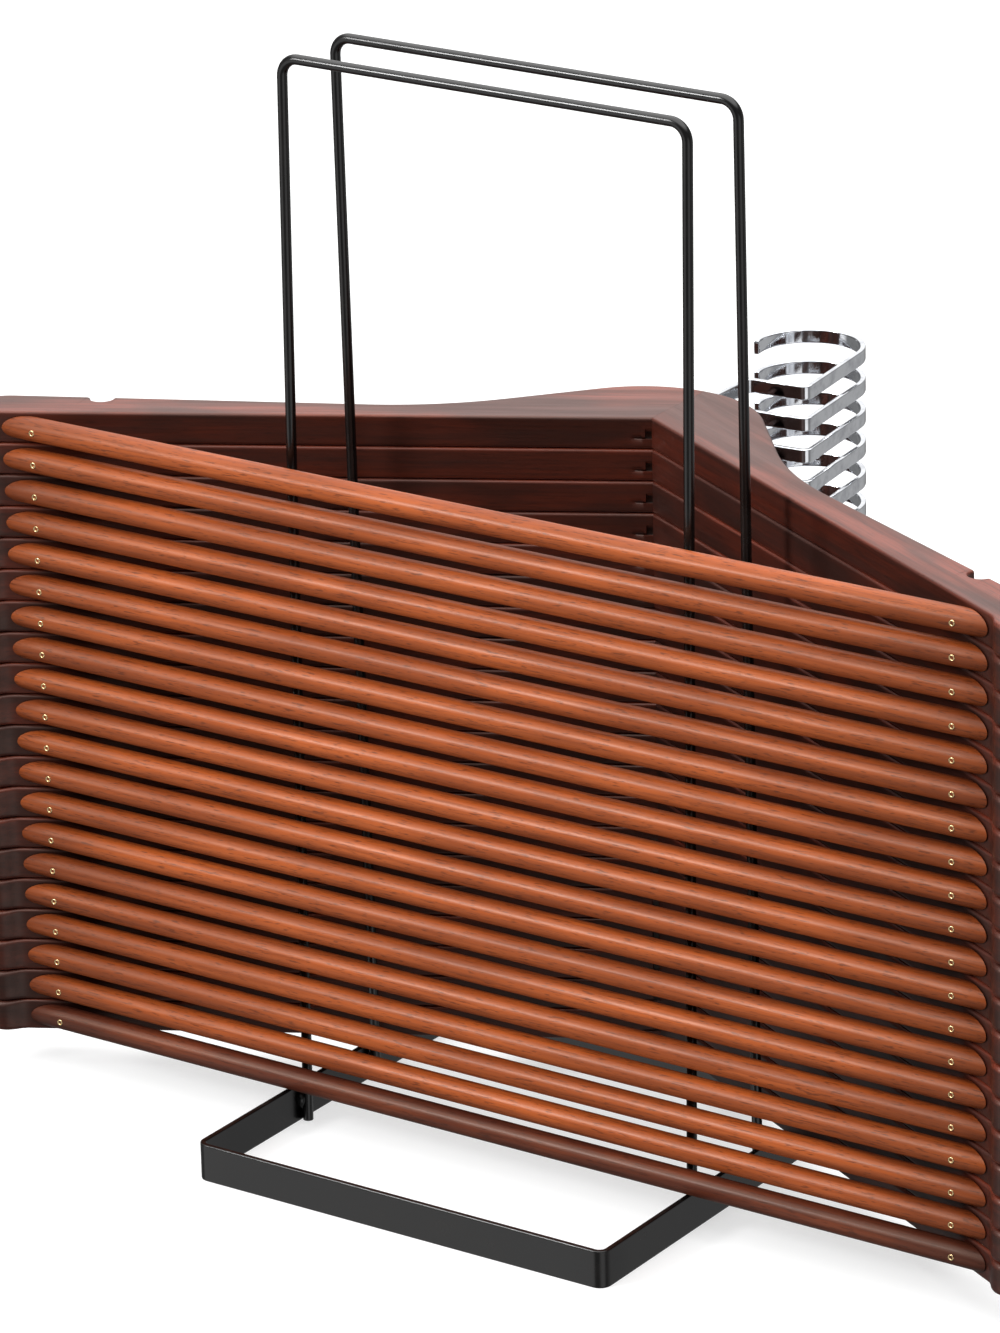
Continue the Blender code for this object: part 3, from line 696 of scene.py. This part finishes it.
# %% Screws
SCREW_PAST_AXIS = 0.0015
SCREW_X = (BAR_DROP - BAR_RADIUS) / math.tan(INNER_SLOPE) + SCREW_PAST_AXIS
SCREW_COLUMNS = 16
head_profile = np.array([   # radius, height above the bar's surface, in millimetres
    [0.10, -0.45], [0.45, -0.42], [0.60, -0.10], [0.70, 0.16],   # the recess
    [0.88, 0.26], [1.08, 0.20], [1.18, 0.02], [1.18, -0.70],     # the ring, and down into the bar
]) / 1000


def screw_rows():
    """The profile turned about the y axis: x = r cos a, z = r sin a, and height towards the front."""
    around = np.arange(SCREW_COLUMNS) / SCREW_COLUMNS * math.tau
    radius, height = head_profile[:, :1], head_profile[:, 1:]
    front = -BAR_RADIUS - height + 0 * around
    return np.stack([radius * np.cos(around), front, radius * np.sin(around)], axis=-1)


rows = screw_rows()
from_middle = np.repeat(head_profile[:, :1] / head_profile[:, 0].max(), SCREW_COLUMNS, axis=1)
rim_field = np.stack([from_middle, 0 * from_middle, 0 * from_middle], axis=-1)
for number, origin in origins.items():
    hanger = f"hanger_{number:02d}"
    for side, sign in (("left", -1), ("right", 1)):
        node = f"{hanger}_{side}_screw"
        place = origin + (sign * SCREW_X, 0, 0)
        head = skin_mesh(f"{node}_head", rows + place, fields={"grain": rim_field})
        own = [node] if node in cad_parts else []
        add_piece(head, hanger, brass, own)
print("screws:", 2 * HANGER_COUNT, "pieces of", len(head.polygons), "faces")

# %% [markdown]
# ## Hooks
#
# A hook is chromed flat strip on edge: up out of the neck, a sharp jog to one side, then a curl back over
# the shank. The strip's section is carried along a path drawn with the pen. Its corners are eased by a few
# tenths of a millimetre, which is what makes the bright lines along polished strip.

# %% Hook path
STRIP_THICKNESS, STRIP_HEIGHT, STRIP_EASE = 0.0020, 0.0052, 0.00035
SHANK_LENGTH, JOG_LENGTH, JOG_RISE = 0.0285, 0.0235, math.radians(5)
BEND_RADIUS, CURL_RADIUS = 0.003, 0.020
CURL_ABOVE_NECK, CURL_SHIFT, CURL_TURN = 0.0715, -0.0015, math.radians(187)
BORE_CLEARANCE, CUT_EASE = 0.0004, 0.0002
SHANK_IN_BORE = BORE_DEPTH - BORE_CLEARANCE    # the shank stops just short of the bottom


def hook_path():
    """The strip's middle line in the hanger's plane, from the bottom of the bore to the hook's tip.

    The riser leaves the knee along the line that touches the curl's circle on its right.
    """
    knee = np.array([JOG_LENGTH, SHANK_LENGTH + JOG_LENGTH * math.tan(JOG_RISE)])
    curl = np.array([CURL_SHIFT, CURL_ABOVE_NECK])
    away = curl - knee
    reach = math.hypot(*away)
    rising = math.atan2(away[1], away[0]) - math.asin(CURL_RADIUS / reach)
    elbow_turn, knee_turn = JOG_RISE - math.pi / 2, rising - JOG_RISE
    elbow_cut = BEND_RADIUS * math.tan(-elbow_turn / 2)
    knee_cut = BEND_RADIUS * math.tan(knee_turn / 2)
    riser = math.sqrt(reach ** 2 - CURL_RADIUS ** 2) - knee_cut
    moves = [
        line(SHANK_IN_BORE + SHANK_LENGTH - elbow_cut, 6), arc(BEND_RADIUS, elbow_turn, 8),
        line(JOG_LENGTH / math.cos(JOG_RISE) - elbow_cut - knee_cut, 3), arc(BEND_RADIUS, knee_turn, 10),
        line(riser, 4), arc(CURL_RADIUS, CURL_TURN, 44),
    ]
    return draw((0.0, NECK_TOP - SHANK_IN_BORE), math.pi / 2, moves)


hook_points, hook_headings, hook_walked = hook_path()
print("a hook is bent from a strip", hook_walked[-1].round(3), "m long")


# %% Section and sweep
def eased_section(width, height, ease, steps=3):
    """Points round a rectangle with quarter-round corners, and one point a little along each flat."""
    turn = np.linspace(0, math.pi / 2, steps)
    corner = np.stack([ease * np.sin(turn) - ease, ease * np.cos(turn) - ease], axis=-1)
    corner = np.concatenate([[[-2 * ease, 0.0]], corner, [[0.0, -2 * ease]]])
    first = corner + (width / 2, height / 2)
    second = corner[::-1] * (1, -1) + (width / 2, -height / 2)
    third = corner * (-1, -1) + (-width / 2, -height / 2)
    fourth = corner[::-1] * (-1, 1) + (-width / 2, height / 2)
    return np.concatenate([first, second, third, fourth])


def swept(points, headings, section, end_ease):
    """A section carried along a path in the plane: sideways along the path's normal, and up.

    The first and last rows stay at the cut but are drawn in by the ease, and the full section starts the
    same ease further along, so that the cut ends have soft edges.
    """
    points = np.concatenate([points[:1], points[:1], points[1:-1], points[-1:], points[-1:]])
    headings = np.concatenate([headings[:1], headings, headings[-1:]])
    run = np.stack([np.cos(headings), np.sin(headings)], axis=-1)
    points[1] += end_ease * run[1]
    points[-2] -= end_ease * run[-2]
    normal = np.stack([-run[:, 1], run[:, 0]], axis=-1)
    half = np.abs(section).max(axis=0)
    outermost = np.abs(section) > half - 1.5 * end_ease
    sections = np.repeat(section[None], len(points), axis=0)
    sections[[0, -1]] -= end_ease * np.sign(section) * outermost
    plan = points[:, None] + sections[..., :1] * normal[:, None]
    return np.concatenate([plan, sections[..., 1:]], axis=-1)


# %% Hooks
strip = eased_section(STRIP_THICKNESS, STRIP_HEIGHT, STRIP_EASE)
hook_rows = swept(hook_points, hook_headings, strip, CUT_EASE)
for number, origin in origins.items():
    hook = skin_mesh(f"hanger_{number:02d}_hook_strip", hook_rows + origin)
    add_piece(hook, f"hook_{number:02d}", chrome, [f"hanger_{number:02d}_hook"])
print("hooks:", HANGER_COUNT, "pieces of", len(hook.polygons), "faces")

# %% [markdown]
# ## Wire loops
#
# The two loops are one wire each, bent round two corners, leaning slightly towards each other at the top.
# A circle is carried along the path in the leaning plane. The cut feet stand inside the base ring.

# %% Loops
WIRE_RADIUS, LOOP_CORNER = 0.00185, 0.0065
WIRE_COLUMNS = 20
LOOPS = ("front_loop", "rear_loop")


def foot_depth(name):
    """How far back a loop's feet stand. The front loop leans back from its feet, the rear one forwards."""
    low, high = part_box(name)
    return low.y + WIRE_RADIUS if name == "front_loop" else high.y - WIRE_RADIUS


def wire_rows(name):
    """A circle carried along a loop: up one leg, round two corners and down the other.

    The loop is drawn in its own plane, and the plane is tipped about the feet so that the top meets the
    box that the engineering model gives. The feet are cut level.
    """
    low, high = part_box(name)
    half = (high.x - low.x) / 2 - WIRE_RADIUS
    depth = high.y - low.y - 2 * WIRE_RADIUS
    rise = math.hypot(high.z - WIRE_RADIUS, depth)
    tip = math.atan2(depth, high.z - WIRE_RADIUS) * (1 if name == "front_loop" else -1)
    leg, corner = line(rise - LOOP_CORNER - low.z, 24), arc(LOOP_CORNER, -math.pi / 2, 12)
    moves = [leg, corner, line(2 * (half - LOOP_CORNER), 12), corner, leg]
    points, headings, walked = draw((-half, low.z), math.pi / 2, moves)
    around = np.arange(WIRE_COLUMNS) / WIRE_COLUMNS * math.tau
    circle = WIRE_RADIUS * np.stack([np.cos(around), np.sin(around)], axis=-1)
    flat = swept(points, headings, circle, 0.0)
    x, up, out = flat[..., 0], flat[..., 1], flat[..., 2]
    y = up * math.sin(tip) + out * math.cos(tip)
    z = np.maximum(up * math.cos(tip) - out * math.sin(tip), low.z)
    return np.stack([x + (low.x + high.x) / 2, y + foot_depth(name), z], axis=-1), walked[-1]


for name in LOOPS:
    rows, length = wire_rows(name)
    add_piece(skin_mesh(f"{name}_wire", rows), "rack", black_paint, [name])
    print(name, "is", round(length, 3), "m of wire")

# %% [markdown]
# ## Base ring
#
# The base is flat bar on edge, bent into a rectangle and welded shut. Its section is swept round a rounded
# rectangle that closes on itself, so it needs no caps. A solidified plane would give the same wall, but the
# sweep also gives the eased edges that hold the shine.

# %% Base ring
BASE_THICKNESS, BASE_CORNER, BASE_EASE = 0.002, 0.0035, 0.0004
ring_low, ring_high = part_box("base_ring")


def ring_rows():
    """The bar's section carried once round the rectangle's middle line; the last row meets the first."""
    width, depth = ring_high.x - ring_low.x - BASE_THICKNESS, ring_high.y - ring_low.y - BASE_THICKNESS
    side, end = width - 2 * BASE_CORNER, line(depth - 2 * BASE_CORNER, 12)
    corner, half_side = arc(BASE_CORNER, math.pi / 2, 10), line(side / 2, 8)
    moves = [half_side, corner, end, corner, line(side, 16), corner, end, corner, half_side]
    middle = np.array([(ring_low.x + ring_high.x) / 2, ring_low.y + BASE_THICKNESS / 2])
    points, headings, walked = draw(middle, 0.0, moves)
    section = eased_section(BASE_THICKNESS, ring_high.z - ring_low.z, BASE_EASE)
    normal = np.stack([-np.sin(headings), np.cos(headings)], axis=-1)
    plan = points[:, None] + section[:, :1] * normal[:, None]
    height = np.broadcast_to(section[:, 1] + (ring_low.z + ring_high.z) / 2, plan.shape[:2])
    return np.concatenate([plan, height[..., None]], axis=-1)


ring = skin_mesh("base_ring_bar", ring_rows(), (False, False))
add_piece(ring, "rack", black_paint, ["base_ring"])
print("base ring", [round(v, 4) for v in ring_high - ring_low], "m")

# %% [markdown]
# ## Weld beads
#
# Small beads of weld hold the feet of the loops to the inside of the ring, one in front of each foot and
# one behind it. No two beads are alike, so each is a stretched sphere with its own few ripples.

# %% Weld beads
BEAD_ROWS, BEAD_COLUMNS = 12, 16
BEAD_SIZE = np.array([0.0016, 0.0024, 0.0036])
BEAD_INSET = 0.0004        # in from the outside of the foot
BEAD_ASIDE = 0.0014        # to the front and back of the wire's axis
BEAD_HEIGHT = 0.0085       # above the floor


def bead_rows(middle, seed):
    """A sphere stretched to the bead's size and made lumpy by a few sine ripples of its two angles."""
    lumps = np.random.default_rng(seed).uniform(0, math.tau, 3)
    rise = np.linspace(0, math.pi, BEAD_ROWS)[:, None]
    around = np.arange(BEAD_COLUMNS) / BEAD_COLUMNS * math.tau
    across = 0.07 * np.sin(3 * around + lumps[0])
    along = 0.06 * np.sin(5 * rise + lumps[1]) * np.cos(2 * around + lumps[2])
    ball = np.stack(
        [np.sin(rise) * np.cos(around), np.sin(rise) * np.sin(around), np.cos(rise) + 0 * around], axis=-1,
    )
    return ball * (1 + across + along)[..., None] * BEAD_SIZE + middle


beads = 0
for name in LOOPS:
    low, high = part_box(name)
    for side, x in (("left", low.x + BEAD_INSET), ("right", high.x - BEAD_INSET)):
        for front, aside in (("front", -BEAD_ASIDE), ("back", BEAD_ASIDE)):
            beads += 1
            rows = bead_rows((x, foot_depth(name) + aside, BEAD_HEIGHT), beads)
            bead = skin_mesh(f"{name}_{side}_{front}_weld", rows, (False, False))
            add_piece(bead, "rack", black_paint)
print("weld beads:", beads)

# %% [markdown]
# ## Floor
#
# The floor is plain and pale, and it glows faintly, like a light table, so that only a soft shadow is left
# on it. It is kept out of reflections and of bounced light, because a white floor close under black paint
# would turn the paint grey.

# %% Floor
floor_finish, tree, shader = new_finish("studio_floor", Base_Color=colour(170, 170, 170), Roughness=0.85)
shader.inputs["Emission Color"].default_value = (1.0, 1.0, 1.0, 1.0)
shader.inputs["Emission Strength"].default_value = 0.62
floor_mesh = bpy.data.meshes.new("studio_floor")
FLOOR_HALF = 6
floor_corners = [(FLOOR_HALF * x, FLOOR_HALF * y, 0) for x, y in ((-1, -1), (1, -1), (1, 1), (-1, 1))]
floor_mesh.from_pydata(floor_corners, [], [(0, 1, 2, 3)])
floor_mesh.materials.append(floor_finish)
floor = bpy.data.objects.new("studio_floor", floor_mesh)
bpy.context.scene.collection.objects.link(floor)
floor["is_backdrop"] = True
floor.visible_glossy = floor.visible_diffuse = False
print("floor", 2 * FLOOR_HALF, "m wide")

# %% [markdown]
# ## Room and key lamp
#
# The room could be walls with lamps behind cloth. Here it is only light by direction, which gives the same
# reflections with nothing in the way: a large overhead glow that fills everything, and four soft panels
# low down and to the sides that give the chrome and the paint something to show. One key lamp in front has
# a grid on it, so that it puts a line of shine along the bars and wires and little light on the floor. It
# stands where the bars and the tops of the loops, which all run the same way, mirror it to the viewer.

# %% Room light
ROOM, CEILING = 0.20, 3.2
CEILING_STARTS, CEILING_FULL = 0.5, 0.85   # heights of a direction of length 1
PANEL_FULL = 0.97
panels = (   # the direction it lies in, the nearness at which it starts, and its strength
    ((-0.52, 0.75, 0.40), 0.80, 1.0),
    ((0.50, 0.78, -0.37), 0.60, 0.22),
    ((0.81, -0.50, -0.30), 0.88, 0.8),
    ((-0.55, -0.74, -0.38), 0.88, 0.8),
)
world = bpy.data.worlds.new("studio_room")
bpy.context.scene.world = world
world.use_nodes = True
tree = world.node_tree
direction = add_node(tree, "ShaderNodeTexCoord").outputs["Generated"]
height = add_node(tree, "ShaderNodeSeparateXYZ", {"Vector": direction}).outputs["Z"]
glow = ramp(tree, height, CEILING_STARTS, CEILING_FULL, ROOM, CEILING)
for facing, starts, strength in panels:
    nearness = add_node(tree, "ShaderNodeVectorMath", {0: direction, 1: facing}, operation="DOT_PRODUCT")
    panel = ramp(tree, nearness.outputs["Value"], starts, PANEL_FULL, 0.0, strength)
    glow = add_node(tree, "ShaderNodeMath", {0: glow, 1: panel}, operation="ADD").outputs[0]
tree.links.new(glow, tree.nodes["Background"].inputs["Strength"])
tree.nodes["Background"].inputs["Color"].default_value = (1.0, 1.0, 1.0, 1.0)
print("light from the room and", len(panels), "panels")

# %% Key lamp
KEY_PLACE, KEY_AIM = Vector((-0.64, -1.0, 0.78)), Vector((0.02, -0.09, 0.16))
key_light = bpy.data.lights.new("key_lamp", "AREA")
key_light.shape, key_light.size, key_light.energy = "SQUARE", 0.30, 1.05
key_light.spread = math.radians(50)   # the grid
key_lamp = bpy.data.objects.new("key_lamp", key_light)
bpy.context.scene.collection.objects.link(key_lamp)
key_turn = (KEY_AIM - KEY_PLACE).to_track_quat("-Z", "Y").to_matrix().to_4x4()
key_lamp.matrix_world = Matrix.Translation(KEY_PLACE) @ key_turn
print("key lamp", round((KEY_AIM - KEY_PLACE).length, 2), "m from the bars")

# %% [markdown]
# ## Camera
#
# The camera has a long lens, so the far hangers are hardly smaller than the near ones. It looks down a
# little, from the front and to the right of the rack, and is tilted up to take in the tops of the loops.

# %% Camera
AZIMUTH, ELEVATION, ROLL = math.radians(34.6), math.radians(22.5), math.radians(-1.28)
LOOK_UP, LOOK_LEFT = math.radians(1.963), math.radians(0.211)   # frames the loops as well as the stack
DISTANCE, AIM_HEIGHT = 2.40117, 0.09626
FOCAL_LENGTH, SENSOR_WIDTH = 183.75, 36   # millimetres
aim = Vector(((ring_low.x + ring_high.x) / 2, (ring_low.y + ring_high.y) / 2, AIM_HEIGHT))
back = Vector((
    math.sin(AZIMUTH) * math.cos(ELEVATION), -math.cos(AZIMUTH) * math.cos(ELEVATION), math.sin(ELEVATION),
))
camera_data = bpy.data.cameras.new("camera")
camera_data.lens, camera_data.sensor_width = FOCAL_LENGTH, SENSOR_WIDTH
camera = bpy.data.objects.new("camera", camera_data)
bpy.context.scene.collection.objects.link(camera)
level = (-back).to_track_quat("-Z", "Y").to_matrix().to_4x4() @ Matrix.Rotation(ROLL, 4, "Z")
framed = Matrix.Rotation(LOOK_UP, 4, "X") @ Matrix.Rotation(LOOK_LEFT, 4, "Y")
camera.matrix_world = Matrix.Translation(aim + DISTANCE * back) @ level @ framed
bpy.context.scene.camera = camera
bpy.context.scene.view_settings.view_transform = "Standard"
print("camera at", [round(v, 3) for v in camera.matrix_world.translation])

# %% Sizes and finish
low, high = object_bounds()
print("this model", [round(v, 4) for v in high - low], "m")
